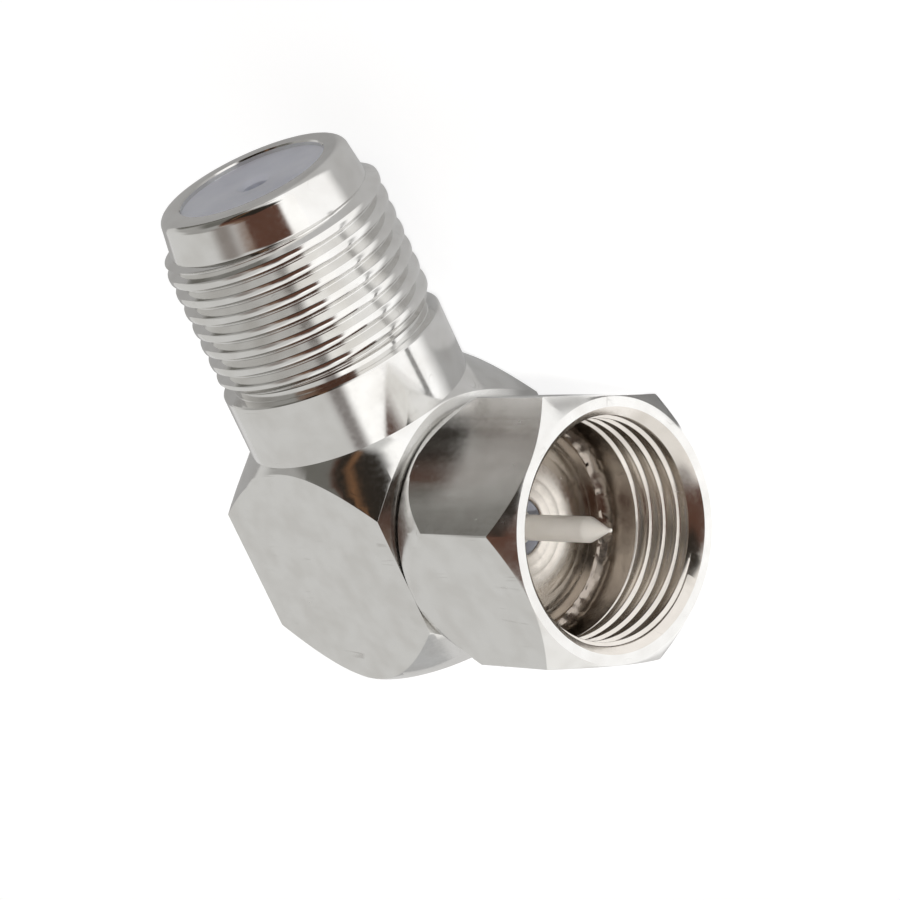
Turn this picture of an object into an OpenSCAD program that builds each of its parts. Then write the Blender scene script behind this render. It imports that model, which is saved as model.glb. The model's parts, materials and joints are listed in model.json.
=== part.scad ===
// Right-angle F adapter: F plug with a captive hex coupling nut, to an F jack.
// The elbow is a square bar with turned, coned ends; jack and plug bores meet inside it.
// Every part is drawn upright about the point where the jack and plug axes cross, then
// laid on its side flats as it rests: plug axis along +X, jack axis along +Y.
// Threads are drawn as their plain cylinders: crests outside, bore inside.

/* [Elbow block] */
// Width across the two milled side flats
block_w = 10; // [9.6:0.1:12]
// Plug axis to the back face
block_back = 4.75; // [4.4:0.05:6]
// Plug axis to the face behind the nut
block_front = 4.9; // [4.6:0.05:6]
// Plug axis to the bottom face
block_bottom = 4.5; // [4.2:0.1:6]
// Jack axis height at which the upper cone meets the collar
block_top = 5.7; // [5:0.1:7]
// Slope of the upper turned cone, degrees below level
shoulder_angle = 47; // [30:1:60]
// Slope of the lower turned cone, degrees above level
base_angle = 52; // [30:1:60]

/* [Thread] */
// Outside diameter over the thread crests, the same on the jack and in the nut
thread_d = 9.5; // [9:0.05:12]
// Depth of the outside thread, and so of the undercut below it
thread_depth = 0.45; // [0.35:0.05:0.5]
// Depth of the nut's thread
nut_thread_depth = 0.35; // [0.25:0.05:0.45]

/* [Jack barrel] */
// How far the plain collar stands proud of the thread crests
collar_step = 0.075; // [0:0.025:0.3]
// Height of the collar
collar_h = 2.8; // [1:0.1:5]
// Length of the threaded stretch
thread_len = 5.95; // [4:0.05:9]
// Height of the undercut
undercut_h = 0.35; // [0.2:0.05:0.8]
// Length of the plain lead-in above the thread
lead_len = 1.65; // [1:0.05:3]
// How far the lead-in narrows up to its rounded mouth
lead_taper = 0.18; // [0.05:0.01:0.3]
// Radius of the rolled mouth
mouth_r = 0.42; // [0.2:0.02:0.5]
// Bore that holds the two jack insulators
jack_bore_d = 6.5; // [5.2:0.05:7]
// How far the rolled lip reaches in over the mouth disc
lip_reach = 0.1; // [0.05:0.05:0.4]
// Thickness of the rolled lip
lip_t = 0.25; // [0.15:0.05:0.5]

/* [Inner cavity] */
// Diameter of the two bores that meet at the corner
cavity_d = 4.8; // [4:0.1:5.4]
// Depth of the jack-side cavity below the plug axis
cavity_depth = 2.2; // [1.8:0.1:2.6]
// Floor of the jack bore above the plug axis
jack_bore_floor = 5.6; // [4:0.1:7]
// Space left under the foot of the jack contact
foot_gap = 0.7; // [0.3:0.1:1.2]

/* [Plug ferrule] */
// How far the flange clears the nut's thread, which it is passed through
flange_gap = 0.2; // [0.1:0.05:0.4]
// How far the flange stands out from the neck, to hold the nut on
flange_ledge = 0.8; // [0.4:0.05:1]
// How far the pressed tail is stepped in from the neck
tail_step = 0.4; // [0.2:0.05:0.6]
// Wall of the tail round the plug insulator
tail_wall = 0.8; // [0.5:0.05:1]
// Depth of the tail in the block
tail_len = 3.15; // [2:0.05:3.4]
// Thickness of the flange
flange_t = 0.85; // [0.5:0.05:1.5]
// Diameter of the shallow dish turned in the flange's face
dish_d = 5.3; // [4:0.1:6]
// Depth of the dish
dish_depth = 0.28; // [0:0.02:0.4]

/* [Coupling nut] */
// Wall between the relief behind the thread and the flats
nut_wall = 0.5; // [0.4:0.05:1.5]
// How far the corners reach out past the flats
corner_reach = 0.8; // [0.5:0.05:0.8]
// Length of the nut
nut_len = 7.15; // [6:0.05:9]
// How far the long rear cone falls in from the corners
rear_fall = 1.15; // [0.9:0.05:1.4]
// Length of the long rear cone
nut_rear_cone = 2.6; // [1:0.1:3]
// Size of the 45 degree cone at the front, from the corners in
front_fall = 0.83; // [0.5:0.01:0.9]
// Thickness of the web behind the flange
web_t = 0.8; // [0.5:0.05:1.5]
// How far the relief behind the thread is cut past the thread
relief_depth = 0.05; // [0:0.05:0.2]
// Length of the threaded bore, mouth chamfer included
nut_thread_len = 3.9; // [3:0.1:5]
// Size of the 45 degree chamfer at the mouth of the thread
mouth_chamfer = 0.47; // [0.2:0.01:0.5]

/* [Centre conductors] */
// Diameter of the plug's centre pin
pin_d = 1.05; // [0.8:0.05:1.2]
// Reach of the pin past the flange's face, tip included
pin_reach = 5.1; // [4:0.1:6]
// Length of the pin's conical tip
pin_tip_len = 1.25; // [0.5:0.05:1.5]
// How much thicker the pin's shank is inside the insulator, on each side
shank_step = 0.2; // [0.2:0.05:0.3]
// How far the collar that stops the pin stands out from the shank
stop_step = 0.175; // [0.15:0.025:0.4]
// Outside diameter of the jack's slotted contact
contact_d = 2.5; // [2.2:0.1:3]
// Width of the slots between the contact's fingers
slot_w = 0.25; // [0.15:0.05:0.4]
// Length of the slots
slot_len = 3.6; // [2:0.1:4.5]

/* [Insulators] */
// Diameter of the plug insulator's nose, seen round the pin
nose_d = 2.4; // [2:0.1:3]
// Thickness of the disc in the jack's mouth
front_disc_t = 3; // [2:0.1:4]
// Radial room for a mating pin in that disc and in the contact
entry_gap = 0.025; // [0.025:0.025:0.15]
// Height of the rear jack insulator
rear_bead_h = 3.2; // [2:0.1:4]

/* [Fits] */
// Radial gap of pieces pressed together
press_gap = 0.01; // [0.01:0.01:0.03]
// Radial gap between the nut and the neck it turns on
spin_gap = 0.08; // [0.03:0.01:0.1]
// Gap between the block and the nut's rear face
nut_gap = 0.25; // [0.15:0.05:0.5]
// Free play between the nut's web and the flange
web_play = 0.1; // [0.05:0.05:0.3]

/* [Hidden] */
$fn = 96;
ARC_STEPS = 6;

// Diameters that follow from the thread
root_d = thread_d - 2 * thread_depth;
lead_d = root_d - 2 * lead_taper;
collar_d = thread_d + 2 * collar_step;
nut_bore_d = thread_d - 2 * nut_thread_depth;
relief_d = thread_d + 2 * relief_depth;
nut_af = relief_d + 2 * nut_wall;
nut_corner_d = nut_af + 2 * corner_reach;
flange_d = nut_bore_d - 2 * flange_gap;
neck_d = flange_d - 2 * flange_ledge;
tail_d = neck_d - 2 * tail_step;
plug_bead_d = tail_d - 2 * tail_wall;

// Diameters that follow from the jack bore and the pin
lip_d = jack_bore_d - 2 * lip_reach;
shank_d = pin_d + 2 * shank_step;
entry_d = pin_d + 2 * entry_gap;
foot_d = contact_d - 0.3;

// Stations up the jack axis
collar_top = block_top + collar_h;
thread_bottom = collar_top + undercut_h;
thread_top = thread_bottom + thread_len;
mouth_z = thread_top + lead_len;
disc_top = mouth_z - lip_t;
disc_bottom = disc_top - front_disc_t;
bead_top = jack_bore_floor + rear_bead_h;

// Stations along the plug axis
tail_start = block_front - tail_len;
nut_rear = max(block_front, collar_d / 2) + nut_gap;
nut_front = nut_rear + nut_len;
web_front = nut_rear + web_t;
flange_back = web_front + web_play;
flange_face = flange_back + flange_t;
dish_floor = flange_face - dish_depth;
pin_end = flange_face + pin_reach;
bead_back = tail_start + 0.25;
nose_face = dish_floor + 0.02;
nose_len = 1;
nut_thread_start = nut_front - nut_thread_len;

// The contact's foot, the pin's back end, and the seat of the contact in the mouth disc
contact_foot = cavity_depth - foot_gap;
pin_back = foot_d / 2 - 0.15;
disc_seat = 0.9;
contact_top = disc_bottom + disc_seat - 0.1;

// The part lies on its widest flats, with its bounding box centred over the origin
rest_h = max(nut_af, block_w, collar_d) / 2;
nut_reach = min(nut_af / 2 / cos(30), nut_corner_d / 2);
shift_x = (max(block_back, collar_d / 2) - nut_front) / 2;
shift_y = (max(block_bottom, nut_reach) - mouth_z) / 2;

module place() {
    translate([shift_x, shift_y, rest_h]) rotate([-90, 0, 0]) children();
}

module along_x() {
    rotate([0, 90, 0]) children();
}

// A solid or hollow turned from a list of [radius, height] points
module turned(profile) {
    rotate_extrude() polygon(profile);
}

module rod(d, from, to) {
    translate([0, 0, from]) cylinder(d = d, h = to - from);
}

// Six-sided bar with flats facing left and right
module hex_bar(across_flats, from, to) {
    translate([0, 0, from])
        cylinder(d = across_flats / cos(30), h = to - from, $fn = 6);
}

// Square bar with both ends coned in the lathe, so the corners fall away from the axis
module coned_block() {
    far = norm([block_w / 2, max(block_back, block_front)]) + 0.2;
    base_r = block_w / 2 - 0.04;
    intersection() {
        translate([-block_back, -block_w / 2, -block_bottom])
            cube([block_back + block_front, block_w, block_bottom + block_top]);
        turned([
            [0, -block_bottom],
            [base_r, -block_bottom],
            [far, -block_bottom + (far - base_r) * tan(base_angle)],
            [far, block_top - (far - collar_d / 2) * tan(shoulder_angle)],
            [collar_d / 2, block_top],
            [0, block_top],
        ]);
    }
}

// Collar, undercut, thread crests, tapered lead-in and rolled mouth in one profile
module barrel() {
    crest = thread_d / 2;
    root = root_d / 2;
    run_out = crest - root;
    lead = lead_d / 2;
    sunk = 0.3;
    turned(concat(
        [
            [0, block_top - sunk],
            [collar_d / 2 - sunk, block_top - sunk],
            [collar_d / 2, block_top],
            [collar_d / 2, collar_top],
            [root, collar_top],
            [root, thread_bottom],
            [crest, thread_bottom + run_out],
            [crest, thread_top - run_out],
            [root, thread_top],
            [lead, mouth_z - mouth_r],
        ],
        [for (i = [1:ARC_STEPS])
            let (a = 90 * i / ARC_STEPS)
            [lead - mouth_r * (1 - cos(a)), mouth_z - mouth_r * (1 - sin(a))]],
        [[0, mouth_z]]
    ));
}

module elbow_body() {
    color("silver") place() difference() {
        union() {
            coned_block();
            barrel();
        }
        // Jack side: lip, insulator bore, cavity with its drill point
        rod(lip_d, disc_top - 0.01, mouth_z + 1);
        rod(jack_bore_d, jack_bore_floor, disc_top);
        rod(cavity_d, -cavity_depth, jack_bore_floor + 0.01);
        translate([0, 0, -cavity_depth - 1.2])
            cylinder(d1 = 0.4, d2 = cavity_d, h = 1.21);
        // Plug side: seat of the ferrule's tail, then the cavity
        along_x() {
            rod(cavity_d, 0, tail_start + 0.01);
            rod(tail_d, tail_start, block_front + 1);
        }
    }
}

// Sleeve pressed into the block: tail, neck, and the flange that keeps the nut on
module plug_ferrule() {
    tail = tail_d / 2 - press_gap;
    edge = 0.1;
    bead_r = plug_bead_d / 2 + press_gap;
    nose_r = nose_d / 2 + press_gap;
    color("gainsboro") place() along_x() turned([
        [bead_r, tail_start + 0.05],
        [tail - edge, tail_start + 0.05],
        [tail, tail_start + 0.05 + edge],
        [tail, block_front],
        [neck_d / 2, block_front],
        [neck_d / 2, flange_back],
        [flange_d / 2, flange_back],
        [flange_d / 2, flange_face - edge],
        [flange_d / 2 - edge, flange_face],
        [dish_d / 2, flange_face],
        [nose_r + 0.15, dish_floor],
        [nose_r, dish_floor],
        [nose_r, nose_face - nose_len + 0.02],
        [bead_r, nose_face - nose_len + 0.02],
    ]);
}

// Hex bar turned at both ends, bored for the neck, the flange and the thread
module coupling_nut() {
    corner = nut_corner_d / 2;
    rear = corner - rear_fall;
    front = corner - front_fall;
    lip = 0.25;
    neck_r = neck_d / 2 + spin_gap;
    relief = relief_d / 2;
    bore = nut_bore_d / 2;
    mouth = bore + mouth_chamfer;
    color("lightgray") place() along_x() difference() {
        intersection() {
            hex_bar(nut_af, nut_rear, nut_front);
            turned([
                [0, nut_rear],
                [rear, nut_rear],
                [rear + lip, nut_rear + lip],
                [corner, nut_rear + nut_rear_cone],
                [corner, nut_front - front_fall],
                [front, nut_front],
                [0, nut_front],
            ]);
        }
        turned([
            [0, nut_rear - 1],
            [neck_r, nut_rear - 1],
            [neck_r, web_front],
            [relief, web_front],
            [relief, nut_thread_start],
            [bore, nut_thread_start + relief - bore],
            [bore, nut_front - mouth_chamfer],
            [mouth, nut_front],
            [mouth, nut_front + 1],
            [0, nut_front + 1],
        ]);
    }
}

// Stepped bead that centres the pin in the ferrule
module plug_insulator() {
    hole = shank_d / 2 + press_gap;
    color("lightsteelblue") place() along_x() turned([
        [hole, bead_back],
        [plug_bead_d / 2, bead_back],
        [plug_bead_d / 2, nose_face - nose_len],
        [nose_d / 2, nose_face - nose_len],
        [nose_d / 2, nose_face],
        [hole, nose_face],
    ]);
}

// Solid pin with a conical point, a shank in its bead, and a back end held in the contact
module centre_pin() {
    r = pin_d / 2;
    collar_r = shank_d / 2 + stop_step;
    stop = bead_back - 0.01;
    color("whitesmoke") place() along_x() turned([
        [0, -pin_back],
        [r - 0.1, -pin_back],
        [r, -pin_back + 0.1],
        [r, stop - 0.5],
        [collar_r, stop - 0.5],
        [collar_r, stop],
        [shank_d / 2, stop],
        [shank_d / 2, nose_face],
        [r, nose_face],
        [r, pin_end - pin_tip_len],
        [0.09, pin_end - 0.08],
        [0, pin_end],
    ]);
}

// Turned contact: cross-drilled foot for the pin, stop shoulder, four sprung fingers
module jack_contact() {
    r = contact_d / 2;
    slot_bottom = contact_top - slot_len;
    color("goldenrod") place() difference() {
        turned([
            [0, -contact_foot],
            [foot_d / 2 - 0.15, -contact_foot],
            [foot_d / 2, -contact_foot + 0.15],
            [foot_d / 2, jack_bore_floor - 0.3],
            [r, jack_bore_floor - 0.3],
            [r, bead_top],
            [r + 0.4, bead_top],
            [r + 0.4, bead_top + 0.4],
            [r, bead_top + 0.4],
            [r, contact_top - 0.1],
            [r - 0.1, contact_top],
            [0, contact_top],
        ]);
        rod(entry_d, slot_bottom - 0.4, contact_top + 1);
        for (turn = [0, 90])
            rotate([0, 0, turn])
                translate([-contact_d, -slot_w / 2, slot_bottom])
                    cube([2 * contact_d, slot_w, slot_len + 1]);
        along_x() rod(pin_d + 2 * press_gap, -contact_d, contact_d);
    }
}

// Bead that stands on the floor of the jack bore and carries the contact
module jack_rear_insulator() {
    hole = contact_d / 2 + press_gap;
    outer = jack_bore_d / 2 - press_gap;
    color("ivory") place() turned([
        [hole, jack_bore_floor],
        [outer, jack_bore_floor],
        [outer, bead_top],
        [hole, bead_top],
    ]);
}

// Disc under the rolled lip, with the funnel and hole that guide a pin to the contact
module jack_front_insulator() {
    outer = jack_bore_d / 2 - press_gap;
    seat = contact_d / 2 + 0.05;
    hole = entry_d / 2;
    color("lavender") place() turned([
        [seat, disc_bottom],
        [outer, disc_bottom],
        [outer, disc_top],
        [hole + 0.2, disc_top],
        [hole, disc_top - 0.2],
        [hole, disc_bottom + disc_seat],
        [seat, disc_bottom + disc_seat],
    ]);
}

elbow_body();
plug_ferrule();
coupling_nut();
plug_insulator();
centre_pin();
jack_contact();
jack_rear_insulator();
jack_front_insulator();
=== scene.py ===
import json
import math

import bmesh
import bpy
from mathutils import Matrix, Vector, noise


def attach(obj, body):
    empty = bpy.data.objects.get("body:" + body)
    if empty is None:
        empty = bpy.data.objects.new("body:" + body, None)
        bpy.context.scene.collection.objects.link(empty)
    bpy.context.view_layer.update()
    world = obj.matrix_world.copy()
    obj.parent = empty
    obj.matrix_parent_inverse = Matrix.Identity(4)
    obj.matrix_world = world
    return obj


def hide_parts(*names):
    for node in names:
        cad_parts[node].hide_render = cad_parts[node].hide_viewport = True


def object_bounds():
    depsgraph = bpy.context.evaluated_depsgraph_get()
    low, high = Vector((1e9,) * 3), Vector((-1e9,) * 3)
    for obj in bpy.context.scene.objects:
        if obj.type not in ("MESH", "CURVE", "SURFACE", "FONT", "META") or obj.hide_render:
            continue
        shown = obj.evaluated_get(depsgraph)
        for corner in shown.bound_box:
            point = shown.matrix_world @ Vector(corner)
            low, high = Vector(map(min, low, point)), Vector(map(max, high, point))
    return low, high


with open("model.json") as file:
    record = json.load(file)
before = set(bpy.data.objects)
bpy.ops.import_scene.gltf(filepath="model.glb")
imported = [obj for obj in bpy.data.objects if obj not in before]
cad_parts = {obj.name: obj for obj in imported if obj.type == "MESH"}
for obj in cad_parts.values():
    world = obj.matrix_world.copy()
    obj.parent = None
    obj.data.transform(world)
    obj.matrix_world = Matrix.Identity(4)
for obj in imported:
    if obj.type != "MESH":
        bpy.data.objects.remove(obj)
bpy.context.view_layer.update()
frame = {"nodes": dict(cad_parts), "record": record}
scene = bpy.context.scene

# ---------------------------------------------------------------- Camera
# Looks down on the adapter as it lies on its side flats, into the coupling nut and past
# the jack. The roll turns the jack up and to the left.
view_azimuth = math.radians(24.87)
view_elevation = math.radians(33.68)
view_roll = math.radians(-129.19)
view_distance = 0.1427
aim_offset = Vector((0.00074, -0.00156, -0.00003))

lowest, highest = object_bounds()
aim = (lowest + highest) / 2 + aim_offset
toward_camera = Vector((
    math.cos(view_elevation) * math.cos(view_azimuth),
    math.cos(view_elevation) * math.sin(view_azimuth),
    math.sin(view_elevation),
))
camera = bpy.data.objects.new("camera", bpy.data.cameras.new("camera"))
camera.data.sensor_width = 36
camera.data.lens = 141.2
camera.data.clip_start = 0.005
camera.data.clip_end = 10
scene.collection.objects.link(camera)
camera.matrix_world = (
    Matrix.Translation(aim + toward_camera * view_distance)
    @ toward_camera.to_track_quat("Z", "Y").to_matrix().to_4x4()
    @ Matrix.Rotation(view_roll, 4, "Z")
)
scene.camera = camera

# ---------------------------------------------------------------- Elbow body
# One piece of brass bar: coned at both ends and turned to the threaded jack in the lathe,
# then milled square. It is bright nickel plated, bored from both sides, and its mouth is
# rolled in over the front disc.
mm = 0.001
half_width = 5.0
back_face = -4.75
plug_face = 4.9
block_bottom = -4.5
block_top = 5.7
bar_r = 7.2
base_r = 4.96
top_cone = math.radians(47)
bottom_cone = math.radians(52)
block_edge = 0.09
collar_r = 4.825
collar_top = 8.5
collar_edge = 0.05
root_r = 4.3
crest_r = 4.75
core_r = root_r - 0.12
thread_bottom = 8.85
thread_top = 14.8
thread_pitch = 0.794
top_crest = 14.28
mouth_z = 16.45
mouth_roll = 0.42
roll_steps = 10
lead_r = 4.12
lip_r = 3.15
disc_top = 16.2
bore_r = 3.25
bore_floor = 5.6
cavity_r = 2.4
cavity_bottom = -3.4
tail_seat_r = 3.0
tail_seat = 1.75

# Pieces are drawn in millimetres and turned round Z, then laid along the jack or the plug
mounts = {m["name"]: m["pos_m"] for m in frame["record"]["mounts"]}
axes_cross = Vector((mounts["jack_thread"][0], *mounts["centre_pin_end"][1:]))
jack_place = (
    Matrix.Translation(axes_cross)
    @ Matrix.Rotation(math.radians(-90), 4, "X")
    @ Matrix.Scale(mm, 4)
)
plug_place = jack_place @ Matrix.Rotation(math.radians(90), 4, "Y")


def turned(outline, steps=192, closed=False):
    """A shape turned round Z from an outline of (radius, height)."""
    shape = bmesh.new()
    points = [shape.verts.new((r, 0, z)) for r, z in outline]
    pairs = list(zip(points, points[1:]))
    if closed:
        pairs.append((points[-1], points[0]))
    edges = [shape.edges.new(pair) for pair in pairs]
    bmesh.ops.spin(
        shape, geom=points + edges, cent=(0, 0, 0), axis=(0, 0, 1),
        angle=math.tau, steps=steps, use_merge=True,
    )
    bmesh.ops.remove_doubles(shape, verts=shape.verts, dist=0.0001)
    bmesh.ops.recalc_face_normals(shape, faces=shape.faces)
    return shape


def saw_off(shape, point, outward, dist=0.001):
    """Cuts away what lies beyond a plane, and closes the cut."""
    cut = bmesh.ops.bisect_plane(
        shape, geom=shape.verts[:] + shape.edges[:] + shape.faces[:], dist=dist,
        plane_co=point, plane_no=outward, clear_outer=True,
    )
    rim = [e for e in cut["geom_cut"] if isinstance(e, bmesh.types.BMEdge)]
    bmesh.ops.edgeloop_fill(shape, edges=rim)


def break_edges(shape, least, width):
    """Rounds each edge where two faces meet at more than the given angle."""
    edges = [
        e for e in shape.edges
        if len(e.link_faces) == 2 and e.calc_face_angle() > math.radians(least)
    ]
    bmesh.ops.bevel(
        shape, geom=edges, offset=width, offset_type="OFFSET", segments=2,
        profile=0.5, affect="EDGES", material=-1, clamp_overlap=True,
    )
    bmesh.ops.recalc_face_normals(shape, faces=shape.faces)


def threaded_rod(valley, crest, crest_half, valley_half, soften, crest_z, low_z, high_z):
    """A right-hand threaded rod, closed at both ends, with a crest at crest_z. The halves
    are half the width of a crest and of a valley, and soften rounds their corners."""
    steps_a_turn = 144
    spare_turns = 1.5
    crown = 0.02
    half = thread_pitch / 2
    turns_below = math.ceil((crest_z - low_z) / thread_pitch + spare_turns)
    start = crest_z - thread_pitch * turns_below
    shape = bmesh.new()
    points = [shape.verts.new((r, 0, z)) for r, z in (
        (valley, start - half),
        (valley, start - half + valley_half),
        (crest - crown, start - crest_half),
        (crest, start),
        (crest - crown, start + crest_half),
        (valley, start + half - valley_half),
        (valley, start + half),
    )]
    for pair in zip(points, points[1:]):
        shape.edges.new(pair)
    bmesh.ops.bevel(
        shape, geom=points[1:-1], offset=soften, offset_type="OFFSET", segments=3,
        profile=0.5, affect="VERTICES", material=-1, clamp_overlap=True,
    )
    bmesh.ops.spin(
        shape, geom=shape.verts[:] + shape.edges[:], cent=(0, 0, 0), axis=(0, 0, 1),
        dvec=(0, 0, thread_pitch / steps_a_turn), angle=math.tau, steps=steps_a_turn,
    )
    turn = shape.verts[:] + shape.edges[:] + shape.faces[:]
    turns = math.ceil((high_z - low_z) / thread_pitch + 2 * spare_turns)
    for number in range(1, turns):
        copy = bmesh.ops.duplicate(shape, geom=turn)["geom"]
        bmesh.ops.translate(
            shape, vec=(0, 0, thread_pitch * number),
            verts=[v for v in copy if isinstance(v, bmesh.types.BMVert)],
        )
    bmesh.ops.remove_doubles(shape, verts=shape.verts, dist=0.002)
    saw_off(shape, (0, 0, low_z), (0, 0, -1), dist=0.0001)
    saw_off(shape, (0, 0, high_z), (0, 0, 1), dist=0.0001)
    bmesh.ops.recalc_face_normals(shape, faces=shape.faces)
    return shape


def solid(name, shape):
    """The bmesh as an object in millimetres, ready to be joined, cut or finished."""
    mesh = bpy.data.meshes.new(name)
    shape.to_mesh(mesh)
    shape.free()
    piece = bpy.data.objects.new(name, mesh)
    scene.collection.objects.link(piece)
    return piece


def machine(piece, tool, how):
    """Joins the tool to the piece, or cuts it away, and clears the tool."""
    work = piece.modifiers.new("work", "BOOLEAN")
    work.operation = how
    work.solver = "MANIFOLD"
    work.object = tool
    bpy.context.view_layer.update()
    graph = bpy.context.evaluated_depsgraph_get()
    machined = bpy.data.meshes.new_from_object(piece.evaluated_get(graph))
    before = piece.data
    piece.modifiers.clear()
    piece.data = machined
    bpy.data.meshes.remove(before)
    bpy.data.objects.remove(tool)


def put_in_place(piece, place, sharp=32):
    """Clears slivers, lays the mesh in its place, and smooths all but its true edges."""
    sliver = 0.0005
    mesh = piece.data
    shape = bmesh.new()
    shape.from_mesh(mesh)
    bmesh.ops.remove_doubles(shape, verts=shape.verts, dist=sliver)
    bmesh.ops.dissolve_degenerate(shape, edges=shape.edges, dist=sliver)
    shape.to_mesh(mesh)
    shape.free()
    mesh.transform(place)
    for face in mesh.polygons:
        face.use_smooth = True
    mesh.set_sharp_from_angle(angle=math.radians(sharp))
    even = piece.modifiers.new("even shading", "WEIGHTED_NORMAL")
    even.keep_sharp = True
    even.weight = 100


# The block: a coned bar, sawn to its four faces. Its long edges are divided first, so
# that the faces meet the cones in true curves.
cone_top = block_top - (bar_r - collar_r) * math.tan(top_cone)
cone_bottom = block_bottom + (bar_r - base_r) * math.tan(bottom_cone)
block = turned([
    (0, block_bottom),
    (base_r, block_bottom),
    (bar_r, cone_bottom),
    (bar_r, cone_top),
    (collar_r, block_top),
    (0, block_top),
])
long_edges = [e for e in block.edges if abs(e.verts[0].co.z - e.verts[1].co.z) > 1]
bmesh.ops.subdivide_edges(block, edges=long_edges, cuts=5, use_grid_fill=True)
for milled_to, outward in (
    ((0, half_width, 0), (0, 1, 0)),
    ((0, -half_width, 0), (0, -1, 0)),
    ((back_face, 0, 0), (-1, 0, 0)),
    ((plug_face, 0, 0), (1, 0, 0)),
):
    saw_off(block, milled_to, outward)
bmesh.ops.remove_doubles(block, verts=block.verts, dist=0.01)
break_edges(block, 25, block_edge)
elbow = solid("elbow", block)

# The barrel: collar, core of the thread and the mouth rolled in. The rings close to its
# edges keep the shading flat up to them.
mouth = [
    (
        lead_r - 1.25 * mouth_roll * (1 - math.cos(math.pi / 2 * step / roll_steps)),
        mouth_z - mouth_roll * (1 - math.sin(math.pi / 2 * step / roll_steps)),
    )
    for step in range(roll_steps + 1)
]
barrel = turned([
    (0, block_top - 0.3),
    (collar_r - 0.3, block_top - 0.3),
    (collar_r, block_top),
    (collar_r, block_top + 0.1),
    (collar_r, collar_top - 0.15),
    (collar_r, collar_top - collar_edge),
    (collar_r - collar_edge, collar_top),
    (root_r + 0.03, collar_top),
    (root_r, collar_top + 0.03),
    (root_r, thread_bottom + 0.1),
    (core_r, thread_bottom + 0.2),
    (core_r, thread_top - 0.2),
    (root_r, thread_top - 0.1),
    (root_r, thread_top),
    (root_r - 0.01, thread_top + 0.08),
    *mouth,
    (lip_r + 0.14, mouth_z),
    (lip_r + 0.05, mouth_z - 0.03),
    (lip_r, mouth_z - 0.1),
    (lip_r, disc_top),
    (bore_r, disc_top),
    (bore_r, bore_floor),
    (0, bore_floor),
])
machine(elbow, solid("barrel", barrel), "UNION")

# The thread, trimmed to a lead-in at each end
thread = solid("thread", threaded_rod(
    valley=root_r + 0.05, crest=crest_r, crest_half=0.15, valley_half=0.03, soften=0.09,
    crest_z=top_crest, low_z=thread_bottom - 0.3, high_z=thread_top + 0.3,
))
envelope = turned([
    (root_r - 0.4, thread_bottom - 0.05),
    (root_r - 0.05, thread_bottom - 0.05),
    (crest_r + 0.1, thread_bottom + crest_r - root_r + 0.1),
    (crest_r + 0.1, thread_top - 0.33),
    (root_r + 0.2, thread_top - 0.12),
    (root_r - 0.05, thread_top - 0.02),
    (root_r - 0.4, thread_top - 0.02),
], closed=True)
machine(thread, solid("envelope", envelope), "INTERSECT")
machine(elbow, thread, "UNION")

# The two bores, which meet where the axes cross
cavity = turned([
    (0, cavity_bottom),
    (0.2, cavity_bottom),
    (cavity_r, cavity_bottom + 1.2),
    (cavity_r, bore_floor + 0.01),
    (0, bore_floor + 0.01),
], steps=96)
machine(elbow, solid("cavity", cavity), "DIFFERENCE")
plug_bore = turned([
    (0, 0),
    (cavity_r, 0),
    (cavity_r, tail_seat),
    (tail_seat_r, tail_seat),
    (tail_seat_r, plug_face + 1),
    (0, plug_face + 1),
], steps=96)
plug_bore.transform(Matrix.Rotation(math.radians(90), 4, "Y"))
machine(elbow, solid("plug_bore", plug_bore), "DIFFERENCE")
put_in_place(elbow, jack_place)


def feed(tree, value, socket):
    """Links the socket to another, or sets it to a plain value."""
    if isinstance(value, bpy.types.NodeSocket):
        tree.links.new(value, socket)
    else:
        socket.default_value = value


def maths(tree, kind, *values):
    """The result of a maths node on sockets or plain numbers."""
    node = tree.nodes.new("ShaderNodeMath")
    node.operation = kind
    for value, socket in zip(values, node.inputs):
        feed(tree, value, socket)
    return node.outputs[0]


def cloud(tree, where, scale, detail=2.0):
    """Soft noise, with scale as its lumps to a millimetre."""
    node = tree.nodes.new("ShaderNodeTexNoise")
    feed(tree, where, node.inputs["Vector"])
    feed(tree, scale, node.inputs["Scale"])
    feed(tree, detail, node.inputs["Detail"])
    return node.outputs["Fac"]


def span(tree, value, low, high, to_low=0.0, to_high=1.0):
    """Value between low and high, smoothly carried to a new span."""
    node = tree.nodes.new("ShaderNodeMapRange")
    node.interpolation_type = "SMOOTHSTEP"
    feed(tree, value, node.inputs["Value"])
    feed(tree, low, node.inputs["From Min"])
    feed(tree, high, node.inputs["From Max"])
    feed(tree, to_low, node.inputs["To Min"])
    feed(tree, to_high, node.inputs["To Max"])
    return node.outputs["Result"]


def mix(tree, kind, factor, first, second):
    """Two colours mixed by a factor."""
    node = tree.nodes.new("ShaderNodeMix")
    node.data_type = "RGBA"
    node.blend_type = kind
    feed(tree, factor, node.inputs["Factor"])
    feed(tree, first, node.inputs["A"])
    feed(tree, second, node.inputs["B"])
    return node.outputs["Result"]


def ramp(tree, value, low, dark, high, light):
    """From a dark colour at low to a light one at high."""
    node = tree.nodes.new("ShaderNodeValToRGB")
    node.color_ramp.elements[0].position = low
    node.color_ramp.elements[0].color = (*dark, 1)
    node.color_ramp.elements[1].position = high
    node.color_ramp.elements[1].color = (*light, 1)
    feed(tree, value, node.inputs["Fac"])
    return node.outputs["Color"]


def mapping(tree, where, **values):
    """A place moved, turned or scaled."""
    node = tree.nodes.new("ShaderNodeMapping")
    feed(tree, where, node.inputs["Vector"])
    for label, value in values.items():
        feed(tree, value, node.inputs[label])
    return node.outputs["Vector"]


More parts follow.
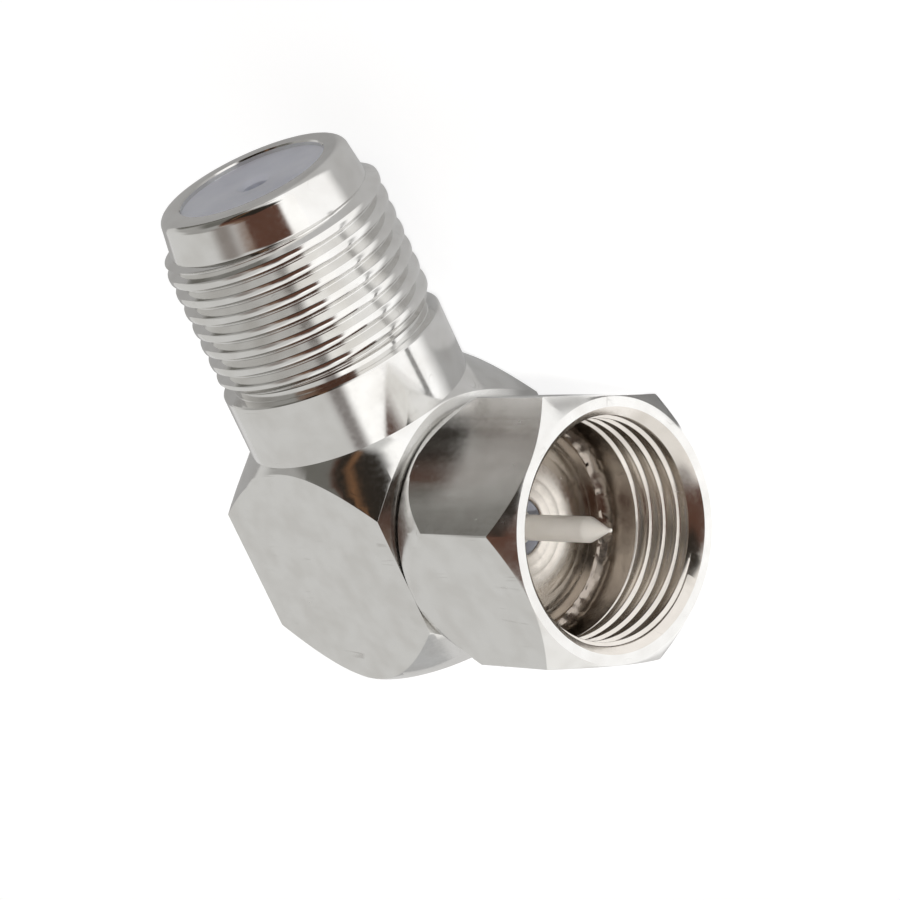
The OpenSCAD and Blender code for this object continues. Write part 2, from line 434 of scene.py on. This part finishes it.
def millimetres(tree, centre=(0, 0, 0)):
    """The place on the piece in millimetres from a centre."""
    place = tree.nodes.new("ShaderNodeTexCoord").outputs["Object"]
    shift = tuple(-part / mm for part in centre)
    return mapping(tree, place, Location=shift, Scale=(1 / mm, 1 / mm, 1 / mm))


def new_group(name, inputs, outputs):
    """A node group, with its sockets given as (name, kind)."""
    group = bpy.data.node_groups.new(name, "ShaderNodeTree")
    for label, kind in inputs:
        group.interface.new_socket(label, in_out="INPUT", socket_type="NodeSocket" + kind)
    for label, kind in outputs:
        group.interface.new_socket(label, in_out="OUTPUT", socket_type="NodeSocket" + kind)
    start = group.nodes.new("NodeGroupInput")
    end = group.nodes.new("NodeGroupOutput")
    return group, start.outputs, end.inputs


def placed(tree, group, **values):
    """A node group placed in a material, with its own values."""
    node = tree.nodes.new("ShaderNodeGroup")
    node.node_tree = group
    for label, value in values.items():
        feed(tree, value, node.inputs[label.replace("_", " ")])
    return node.outputs


# Bright plate: soft unevenness, tool lines along one direction, sparse scratches and stains
plate_dark = (0.71, 0.70, 0.68)
plate_light = (0.77, 0.765, 0.75)
grime = (0.45, 0.42, 0.39, 1)
grime_share = 0.35
polish = 0.035
fine_roughness = 0.10
scratch_roughness = 0.05
uneven_height = 1.1
fine_height = 0.12
scratch_height = -0.2
plate_bump = 0.001 * mm
plate, given, result = new_group(
    "bright_plate",
    inputs=[
        ("Place", "Vector"), ("Grain", "Vector"),
        ("Line depth", "Float"), ("Haze", "Float"), ("Wear", "Float"),
    ],
    outputs=[("Tint", "Color"), ("Roughness", "Float"), ("Height", "Float")],
)
uneven = cloud(plate, given["Place"], scale=0.9, detail=1.5)
lines = cloud(plate, given["Grain"], scale=1.0, detail=0.8)
bands = cloud(plate, given["Grain"], scale=0.35, detail=1.0)
fine = cloud(plate, given["Place"], scale=6.0, detail=0.0)
slanted = mapping(plate, given["Place"], Rotation=(0.2, 0.5, 0.75), Scale=(0.09, 1.7, 1.7))
long_lumps = cloud(plate, slanted, scale=1.0, detail=0.0)
off_middle = maths(plate, "ABSOLUTE", maths(plate, "SUBTRACT", long_lumps, 0.5))
hairline = span(plate, off_middle, 0.0, 0.022, to_low=1.0, to_high=0.0)
worn_spots = span(plate, cloud(plate, given["Place"], scale=0.8), 0.58, 0.74)
scratch = maths(plate, "MULTIPLY", hairline, worn_spots)
scratch = maths(plate, "MULTIPLY", scratch, given["Wear"])

satin = span(plate, bands, 0.3, 0.7, to_low=0.7, to_high=1.15)
rough = maths(plate, "MULTIPLY_ADD", fine, fine_roughness, polish)
rough = maths(plate, "MULTIPLY_ADD", given["Haze"], satin, rough)
rough = maths(plate, "MULTIPLY_ADD", scratch, scratch_roughness, rough)
feed(plate, rough, result["Roughness"])

height = maths(plate, "MULTIPLY", uneven, uneven_height)
height = maths(plate, "MULTIPLY_ADD", lines, given["Line depth"], height)
height = maths(plate, "MULTIPLY_ADD", fine, fine_height, height)
height = maths(plate, "MULTIPLY_ADD", scratch, scratch_height, height)
feed(plate, height, result["Height"])

tint = ramp(plate, uneven, 0.30, plate_dark, 0.62, plate_light)
tint = mix(plate, "MULTIPLY", maths(plate, "MULTIPLY", scratch, grime_share), tint, grime)
feed(plate, tint, result["Tint"])


def plated(name, grain, line_depth, haze, wear=1.0, cast=(1, 1, 1)):
    """Bright nickel plate, tinted by its cast. The tool lines run where the grain is small."""
    material = bpy.data.materials.new(name)
    material.use_nodes = True
    tree = material.node_tree
    shader = tree.nodes["Principled BSDF"]
    place = millimetres(tree, axes_cross)
    surface = placed(
        tree, plate, Place=place, Grain=mapping(tree, place, Scale=grain),
        Line_depth=line_depth, Haze=haze, Wear=wear,
    )
    bump = tree.nodes.new("ShaderNodeBump")
    bump.inputs["Distance"].default_value = plate_bump
    feed(tree, surface["Height"], bump.inputs["Height"])
    feed(tree, bump.outputs["Normal"], shader.inputs["Normal"])
    shade = mix(tree, "MULTIPLY", 1, surface["Tint"], (*cast, 1))
    feed(tree, shade, shader.inputs["Base Color"])
    feed(tree, surface["Roughness"], shader.inputs["Roughness"])
    shader.inputs["Metallic"].default_value = 1
    return material


# The large milled faces are duller than what the lathe turned
elbow_turned = plated("elbow_turned", (0.6, 9.0, 0.6), line_depth=0.10, haze=0.03)
elbow_milled = plated("elbow_milled", (2.0, 7.0, 0.5), line_depth=0.55, haze=0.135)
milled_area = 10 * mm * mm
elbow.data.materials.clear()
elbow.data.materials.append(elbow_turned)
elbow.data.materials.append(elbow_milled)
for face in elbow.data.polygons:
    square = max(abs(part) for part in face.normal) > 0.9999
    if square and abs(face.normal.y) < 0.5 and face.area > milled_area:
        face.material_index = 1
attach(elbow, "connector")
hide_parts("elbow_body")

# ---------------------------------------------------------------- Plug ferrule
# A turned brass sleeve, nickel plated, pressed into the side of the block. Its flange
# keeps the nut on, and its dished face shows the rings left by the turning tool.
tail_start = 1.8
tail_r = 2.99
neck_r = 3.4
flange_r = 4.2
flange_back = 6.05
flange_face = 6.9
dish_r = 2.65
dish_rim = 6.89
dish_floor_r = 1.41
dish_floor = 6.64
mark_half = 0.04
face_mark_depth = 0.006
dish_mark_depth = 0.003
nose_hole = 1.21
bead_hole = 2.21
nose_back = 5.66
dish_slope = (dish_rim - dish_floor) / (dish_r - dish_floor_r)


def tool_mark(r, depth, slope=0.0):
    """A shallow groove at radius r, as three points on the face or down the dish."""
    level = flange_face if slope == 0 else dish_rim - slope * (dish_r - r)
    return [
        (r + mark_half, level + slope * mark_half),
        (r, level - depth),
        (r - mark_half, level - slope * mark_half),
    ]


ferrule = solid("ferrule", turned([
    (bead_hole, tail_start),
    (tail_r - 0.1, tail_start),
    (tail_r, tail_start + 0.1),
    (tail_r, plug_face),
    (neck_r, plug_face),
    (neck_r, flange_back),
    (flange_r - 0.05, flange_back),
    (flange_r, flange_back + 0.05),
    (flange_r, flange_face - 0.12),
    (flange_r - 0.035, flange_face - 0.035),
    (flange_r - 0.12, flange_face),
    *tool_mark(3.62, face_mark_depth),
    *tool_mark(3.12, face_mark_depth),
    (dish_r + 0.1, flange_face),
    (dish_r, dish_rim),
    *tool_mark(2.10, dish_mark_depth, dish_slope),
    *tool_mark(1.70, dish_mark_depth, dish_slope),
    (dish_floor_r, dish_floor),
    (nose_hole + 0.1, dish_floor - 0.02),
    (nose_hole, dish_floor - 0.02),
    (nose_hole, nose_back),
    (bead_hole, nose_back),
], closed=True))
put_in_place(ferrule, plug_place, sharp=28)
ferrule.data.materials.append(plated(
    "ferrule_plate", (1, 5.0, 5.0), line_depth=0.3, haze=0.135, cast=(0.95, 0.90, 0.84),
))
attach(ferrule, "connector")
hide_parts("plug_ferrule")

# ---------------------------------------------------------------- Coupling nut
# Brass hex bar, nickel plated: coned at both ends in the lathe, bored for the ferrule's
# neck and flange, and tapped with the same fine thread. It turns freely on the neck.
nut_rear = 4.99
nut_front = 12.3
nut_flat = 5.3
nut_corner = 6.1
front_cone = 0.83
rear_cone = 2.6
neck_hole = 3.48
web_front = 5.95
relief_r = 4.8
nut_bore = 4.4
nut_thread_start = 8.4
nut_crest = 8.97
mouth_chamfer = 0.47
nut_edge = 0.04
ring_foot = web_front + 0.65
ring_top = web_front + 1.2
# Inward and forward steps of the rounded rear edge, and of the rough ring of plating
# that stands in the relief beside the flange
rear_edge = [(1.15, 0), (1.03, 0.04), (0.94, 0.13), (0.9, 0.25)]
rough_ring = [
    (0.03, 1.1), (0.1, 0.97), (0.2, 0.86), (0.31, 0.76), (0.42, 0.70), (0.5, 0.62), (0.52, 0),
]
nut = turned([
    (neck_hole, nut_rear),
    *((nut_corner - inward, nut_rear + forward) for inward, forward in rear_edge),
    (nut_corner, nut_rear + rear_cone),
    (nut_corner, nut_front - front_cone),
    (nut_corner - front_cone, nut_front),
    (nut_bore + mouth_chamfer, nut_front),
    (nut_bore, nut_front - mouth_chamfer),
    (nut_bore, nut_thread_start + relief_r - nut_bore),
    (relief_r, nut_thread_start),
    (relief_r, web_front + 1.25),
    *((relief_r - inward, web_front + forward) for inward, forward in rough_ring),
    (neck_hole, web_front),
], closed=True)
for corner in nut.verts:
    reach = math.hypot(corner.co.x, corner.co.y)
    if ring_foot < corner.co.z < ring_top and reach < relief_r:
        large_lump = noise.noise(corner.co * 2.6) * 0.04
        small_lump = noise.noise(corner.co * 5.3) * 0.06
        corner.co.z += large_lump + small_lump
for side in range(6):
    turn = math.radians(60 * side + 30)
    outward = Vector((math.cos(turn), math.sin(turn), 0))
    saw_off(nut, outward * nut_flat, outward)
bmesh.ops.remove_doubles(nut, verts=nut.verts, dist=0.01)
break_edges(nut, 22, nut_edge)
nut = solid("nut", nut)
tap = threaded_rod(
    valley=nut_bore - 0.02, crest=nut_bore + 0.19, crest_half=0.27, valley_half=0.05,
    soften=0.05, crest_z=nut_crest, low_z=nut_thread_start - 0.1, high_z=nut_front + 0.4,
)
machine(nut, solid("tap", tap), "DIFFERENCE")

nut.data.materials.clear()
nut.data.materials.append(plated(
    "nut_plate", (0.3, 6.5, 6.5), line_depth=1.0, haze=0.135, wear=0.8,
))
# Inside the bore the same plate gets darker, browner casts: painted shade, deepest on the
# relief beside the flange.
nut.data.materials.append(plated(
    "nut_thread", (5.0, 1.0, 1.0), line_depth=0.25, haze=0.135, cast=(0.90, 0.86, 0.82),
))
nut.data.materials.append(plated(
    "nut_relief_painted_shade", (4.0, 3.0, 3.0), line_depth=1.5, haze=0.135, cast=(0.52, 0.46, 0.41),
))
for face in nut.data.polygons:
    reach = math.hypot(face.center.x, face.center.y)
    if reach < nut_bore + mouth_chamfer and web_front < face.center.z < nut_front - 0.01:
        face.material_index = 2 if face.center.z < nut_thread_start + 0.2 else 1
put_in_place(nut, plug_place)
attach(nut, "nut")
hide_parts("coupling_nut")

# ---------------------------------------------------------------- Plug insulator
# A stepped bead of moulded plastic that holds the pin in the middle of the ferrule. Its
# thick end fills the sleeve, and its nose comes through the hole in the dished face.
bead_r = 2.2
bead_start = 2.0
nose_r = 1.2
nose_start = 5.64
nose_end = 6.64
pin_hole = 0.735
plug_bead = solid("plug_bead", turned([
    (pin_hole, bead_start),
    (bead_r - 0.05, bead_start),
    (bead_r, bead_start + 0.05),
    (bead_r, nose_start),
    (nose_r, nose_start),
    (nose_r, nose_end - 0.04),
    (nose_r - 0.04, nose_end),
    (pin_hole + 0.045, nose_end),
    (pin_hole, nose_end - 0.04),
], steps=128, closed=True))
put_in_place(plug_bead, plug_place)

# Moulded skin: a cloudy body under a fine satin surface
skin_bump = 0.0003 * mm
satin_change = 0.08
skin, given, result = new_group(
    "moulded_skin",
    inputs=[("Place", "Vector"), ("Cloud scale", "Float"), ("Satin", "Float")],
    outputs=[("Cloud", "Float"), ("Roughness", "Float"), ("Height", "Float")],
)
feed(skin, cloud(skin, given["Place"], given["Cloud scale"]), result["Cloud"])
ripple = cloud(skin, given["Place"], scale=3.0, detail=1.0)
uneven_satin = span(skin, ripple, 0.3, 0.7, to_low=-satin_change, to_high=satin_change)
feed(skin, maths(skin, "ADD", given["Satin"], uneven_satin), result["Roughness"])
feed(skin, ripple, result["Height"])


def moulded(name, dark, light, cloud_scale, satin, clearness):
    """Natural moulded plastic that lets a little light in."""
    material = bpy.data.materials.new(name)
    material.use_nodes = True
    tree = material.node_tree
    shader = tree.nodes["Principled BSDF"]
    shader.inputs["Subsurface Weight"].default_value = clearness
    shader.inputs["Subsurface Radius"].default_value = (1, 0.9, 0.9)
    shader.inputs["Subsurface Scale"].default_value = 0.5 * mm
    shader.inputs["IOR"].default_value = 1.5
    surface = placed(tree, skin, Place=millimetres(tree), Cloud_scale=cloud_scale, Satin=satin)
    body = ramp(tree, surface["Cloud"], 0.35, dark, 0.65, light)
    feed(tree, body, shader.inputs["Base Color"])
    feed(tree, surface["Roughness"], shader.inputs["Roughness"])
    bump = tree.nodes.new("ShaderNodeBump")
    bump.inputs["Distance"].default_value = skin_bump
    feed(tree, surface["Height"], bump.inputs["Height"])
    feed(tree, bump.outputs["Normal"], shader.inputs["Normal"])
    return material


# The bead is pale plastic. Its dark bluish grey is painted shade, because it sits deep in the
# ferrule.
plug_bead.data.materials.append(moulded(
    "plug_plastic", dark=(0.30, 0.31, 0.35), light=(0.38, 0.39, 0.44),
    cloud_scale=1.2, satin=0.45, clearness=0.2,
))
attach(plug_bead, "connector")
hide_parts("plug_insulator")

# ---------------------------------------------------------------- Centre pin
# A tinned brass pin, turned to a point with a small nib left at its very end. A thicker
# stretch and a stop hold it in the bead, and its back end reaches through the contact.
pin_r = 0.525
pin_back = -0.95
stop_r = 0.9
stop_back = 1.49
stop_front = 1.99
grip_r = 0.725
grip_front = 6.64
pin_end = 12.0
cone_start = pin_end - 1.27
nib_r = 0.085
pin = solid("pin", turned([
    (0, pin_back),
    (pin_r - 0.1, pin_back),
    (pin_r, pin_back + 0.1),
    (pin_r, stop_back),
    (stop_r, stop_back),
    (stop_r, stop_front),
    (grip_r, stop_front),
    (grip_r, grip_front - 0.02),
    (grip_r - 0.025, grip_front),
    (pin_r, grip_front),
    (pin_r, cone_start),
    (pin_r - 0.01, cone_start + 0.04),
    (nib_r + 0.035, pin_end - 0.26),
    (nib_r, pin_end - 0.2),
    (nib_r, pin_end - 0.05),
    (nib_r - 0.035, pin_end - 0.01),
    (0, pin_end),
], steps=96))
put_in_place(pin, plug_place)
pin_tin = plated(
    "pin_plate", (3.0, 0.6, 0.6), line_depth=0.05, haze=0.32, wear=0.0, cast=(1.25, 1.22, 1.17),
)
pin_tin.node_tree.nodes["Principled BSDF"].inputs["Metallic"].default_value = 0.30
pin.data.materials.append(pin_tin)
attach(pin, "connector")
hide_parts("centre_pin")

# ---------------------------------------------------------------- Front disc
# Cloudy translucent plastic, held under the rolled lip. A small flared hole in its middle
# leads a plug's pin to the contact, whose end sits in a wider hole behind.
disc_back = 13.2
disc_r = 3.24
disc_edge = 0.04
disc_hole = 0.55
contact_hole = 1.3
contact_stop = 14.1
disc = solid("front_disc", turned([
    (contact_hole, disc_back),
    (disc_r - disc_edge, disc_back),
    (disc_r, disc_back + disc_edge),
    (disc_r, disc_top - disc_edge),
    (disc_r - disc_edge, disc_top),
    (disc_hole + 0.25, disc_top),
    (disc_hole + 0.17, disc_top - 0.03),
    (disc_hole, disc_top - 0.2),
    (disc_hole, contact_stop),
    (contact_hole, contact_stop),
], steps=128, closed=True))
put_in_place(disc, jack_place)
disc.data.materials.append(moulded(
    "disc_plastic", dark=(0.74, 0.77, 0.87), light=(0.84, 0.87, 0.96),
    cloud_scale=0.35, satin=0.38, clearness=0.10,
))
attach(disc, "connector")
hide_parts("jack_front_insulator")

# ---------------------------------------------------------------- Rear bead
# A ring of natural plastic that stands on the floor of the jack bore. It carries the
# contact and keeps it clear of the body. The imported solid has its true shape.
rear_bead = frame["nodes"]["jack_rear_insulator"]
rear_bead.data.materials.clear()
rear_bead.data.materials.append(moulded(
    "rear_plastic", dark=(0.74, 0.72, 0.68), light=(0.84, 0.82, 0.78),
    cloud_scale=1.0, satin=0.4, clearness=0.3,
))

# ---------------------------------------------------------------- Jack contact
# Spring brass, turned and slotted into four fingers that grip a plug's pin. It passes
# through the rear bead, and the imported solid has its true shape.
contact = frame["nodes"]["jack_contact"]
contact.data.materials.clear()
contact.data.materials.append(plated(
    "contact_brass", (1.0, 6.0, 1.0), line_depth=0.3, haze=0.135, cast=(1.04, 0.82, 0.42),
))

# ---------------------------------------------------------------- Floor
# A plain pale floor, white to the eye. Metal sees a painted reflection in it, a glow only
# glossy rays see: bright ahead of the nut and dimmer beside and under the adapter, with two
# soft dark spots of painted shade on the nut's front cone.
floor_drop = 0.00002
floor_colour = (0.32, 0.32, 0.32, 1)
floor_seen = 0.84
patch_slant = -0.38
floor_shape = bmesh.new()
bmesh.ops.create_grid(floor_shape, x_segments=1, y_segments=1, size=1.5)
floor_mesh = bpy.data.meshes.new("floor")
floor_shape.to_mesh(floor_mesh)
floor_shape.free()
floor = bpy.data.objects.new("floor", floor_mesh)
floor.location.z = -floor_drop
scene.collection.objects.link(floor)

floor_paint = bpy.data.materials.new("floor_paint")
floor_paint.use_nodes = True
tree = floor_paint.node_tree
paint = tree.nodes["Principled BSDF"]
paint.inputs["Base Color"].default_value = floor_colour
paint.inputs["Roughness"].default_value = 0.9
paint.inputs["Specular IOR Level"].default_value = 0.1
on_floor = tree.nodes.new("ShaderNodeSeparateXYZ")
feed(tree, tree.nodes.new("ShaderNodeTexCoord").outputs["Object"], on_floor.inputs["Vector"])
floor_x = on_floor.outputs["X"]
floor_y = on_floor.outputs["Y"]
slanting_x = maths(tree, "MULTIPLY_ADD", floor_y, patch_slant, floor_x)


def strip(tree, value, rise, fall, strength=1.0):
    """A mask that rises to 1 over one stretch of a value and falls over another."""
    rising = span(tree, value, *rise)
    falling = span(tree, value, *fall, strength, 0.0)
    return maths(tree, "MULTIPLY", rising, falling)


# Two soft dark spots of painted shade, seen only by glossy rays, darken the nut's front cone.
near_painted_shade = maths(
    tree, "MULTIPLY",
    strip(tree, slanting_x, (0.0077, 0.0083), (0.0099, 0.0105), 0.95),
    strip(tree, floor_y, (-0.0039, -0.0034), (0.0018, 0.0030)),
)
far_painted_shade = maths(
    tree, "MULTIPLY",
    strip(tree, slanting_x, (0.0050, 0.0083), (0.0088, 0.0125), 0.62),
    strip(tree, floor_y, (0.0016, 0.0032), (0.0072, 0.0088)),
)
painted_shade = maths(tree, "MAXIMUM", near_painted_shade, far_painted_shade)
ahead = span(tree, floor_x, 0.001, 0.006, to_low=0.0, to_high=1.07)
beside = span(tree, floor_y, -0.016, -0.006, to_low=0.55, to_high=0.24)
under = maths(
    tree, "MULTIPLY",
    span(tree, floor_x, -0.007, -0.002, to_low=0.0, to_high=0.40),
    span(tree, floor_y, 0.0004, 0.0011),
)
painted_reflection = maths(tree, "MAXIMUM", ahead, maths(tree, "MAXIMUM", beside, under))
painted_reflection = maths(tree, "MULTIPLY", painted_reflection, maths(tree, "SUBTRACT", 1.0, painted_shade))
# The painted reflection: a glow that only glossy and transmission rays see, bright ahead of the
# nut and dimmer beside and under the adapter.
rays = tree.nodes.new("ShaderNodeLightPath").outputs
painted_reflection_glow = maths(tree, "MAXIMUM", rays["Is Glossy Ray"], rays["Is Transmission Ray"])
painted_reflection_glow = maths(tree, "MULTIPLY", painted_reflection_glow, painted_reflection)
seen = maths(tree, "MULTIPLY", rays["Is Camera Ray"], floor_seen)
glow = tree.nodes.new("ShaderNodeEmission")
feed(tree, maths(tree, "MAXIMUM", seen, painted_reflection_glow), glow.inputs["Strength"])
painted_glow = tree.nodes.new("ShaderNodeAddShader")
feed(tree, paint.outputs["BSDF"], painted_glow.inputs[0])
feed(tree, glow.outputs["Emission"], painted_glow.inputs[1])
feed(tree, painted_glow.outputs["Shader"], tree.nodes["Material Output"].inputs["Surface"])
floor_mesh.materials.append(floor_paint)


# ---------------------------------------------------------------- Lamps
# One wide lamp at the side lights the disc, and a narrow one into the plug lights the pin.
# The metal doesn't mirror them.
def lamp_toward(name, kind, energy, location, target):
    """A lamp that points at a target."""
    lamp = bpy.data.objects.new(name, bpy.data.lights.new(name, kind))
    lamp.data.energy = energy
    lamp.visible_glossy = False
    lamp.location = location
    lamp.rotation_euler = (target - lamp.location).to_track_quat("-Z", "Y").to_euler()
    scene.collection.objects.link(lamp)
    return lamp


side_lamp = lamp_toward("side_lamp", "AREA", 0.16, Vector((0.03, 0.26, 0.16)), aim)
side_lamp.data.size = 0.2

pin_middle = Vector(mounts["centre_pin_end"]) - Vector((2.4 * mm, 0, 0))
above_plug = pin_middle + Vector((0.11, 0.035, 0.09))
plug_lamp = lamp_toward("plug_lamp", "SPOT", 2.6, above_plug, pin_middle)
plug_lamp.data.shadow_soft_size = 0.012
plug_lamp.data.spot_size = math.radians(5.5)
plug_lamp.data.spot_blend = 1

# ---------------------------------------------------------------- Studio
# A pale room with soft boxes low in front and dark panels beside and above them, painted
# on the world by azimuth and elevation. It gives the bands on the turned metal.
world = bpy.data.worlds.new("studio")
scene.world = world
world.use_nodes = True
sky = world.node_tree
toward = sky.nodes.new("ShaderNodeSeparateXYZ")
feed(sky, sky.nodes.new("ShaderNodeTexCoord").outputs["Generated"], toward.inputs["Vector"])
azimuth = maths(sky, "ARCTAN2", toward.outputs["Y"], toward.outputs["X"])
elevation = maths(sky, "ARCSINE", toward.outputs["Z"])


def panel(under_it, colour, from_az, to_az, from_el, to_el, soft):
    """Paints a soft-edged panel of the room, in degrees, over what is under it."""
    masks = [
        strip(
            sky, angle,
            (math.radians(start - soft), math.radians(start + soft)),
            (math.radians(stop - soft), math.radians(stop + soft)),
        )
        for angle, start, stop in ((azimuth, from_az, to_az), (elevation, from_el, to_el))
    ]
    return mix(sky, "MIX", maths(sky, "MULTIPLY", *masks), under_it, (*colour, 1))


room = (0.70, 0.695, 0.68, 1)
# Far walls and ceiling
room = panel(room, (0.40, 0.395, 0.38), 95, 220, 38, 100, 10)
room = panel(room, (0.30, 0.27, 0.25), -200, 220, 78, 120, 8)
room = panel(room, (0.42, 0.415, 0.40), 96, 160, 12, 62, 8)
room = panel(room, (0.16, 0.155, 0.14), 100, 152, -20, 12, 5)
room = panel(room, (0.51, 0.51, 0.51), -132, -100, -20, 16, 6)
# Soft boxes
room = panel(room, (1.06, 1.05, 1.03), -98, -30, -20, 50, 6)
room = panel(room, (1.36, 1.35, 1.33), -36, -12, -20, 50, 6)
room = panel(room, (1.32, 1.31, 1.29), -20, 72, -20, 26, 4)
# Dark and brown panels
room = panel(room, (0.26, 0.24, 0.23), -36, 0, 38, 53, 5)
room = panel(room, (0.17, 0.165, 0.15), 90, 128, 10, 50, 7)
room = panel(room, (0.22, 0.14, 0.10), -8, 100, 50, 76, 7)
room = panel(room, (0.12, 0.058, 0.040), -13, 100, 20, 62, 3)
room = panel(room, (0.030, 0.025, 0.020), 30, 98, 12.5, 46, 4)
room = panel(room, (0.20, 0.105, 0.055), 84, 89, 14, 42, 2)
feed(sky, room, sky.nodes["Background"].inputs["Color"])

scene.view_settings.view_transform = "Standard"
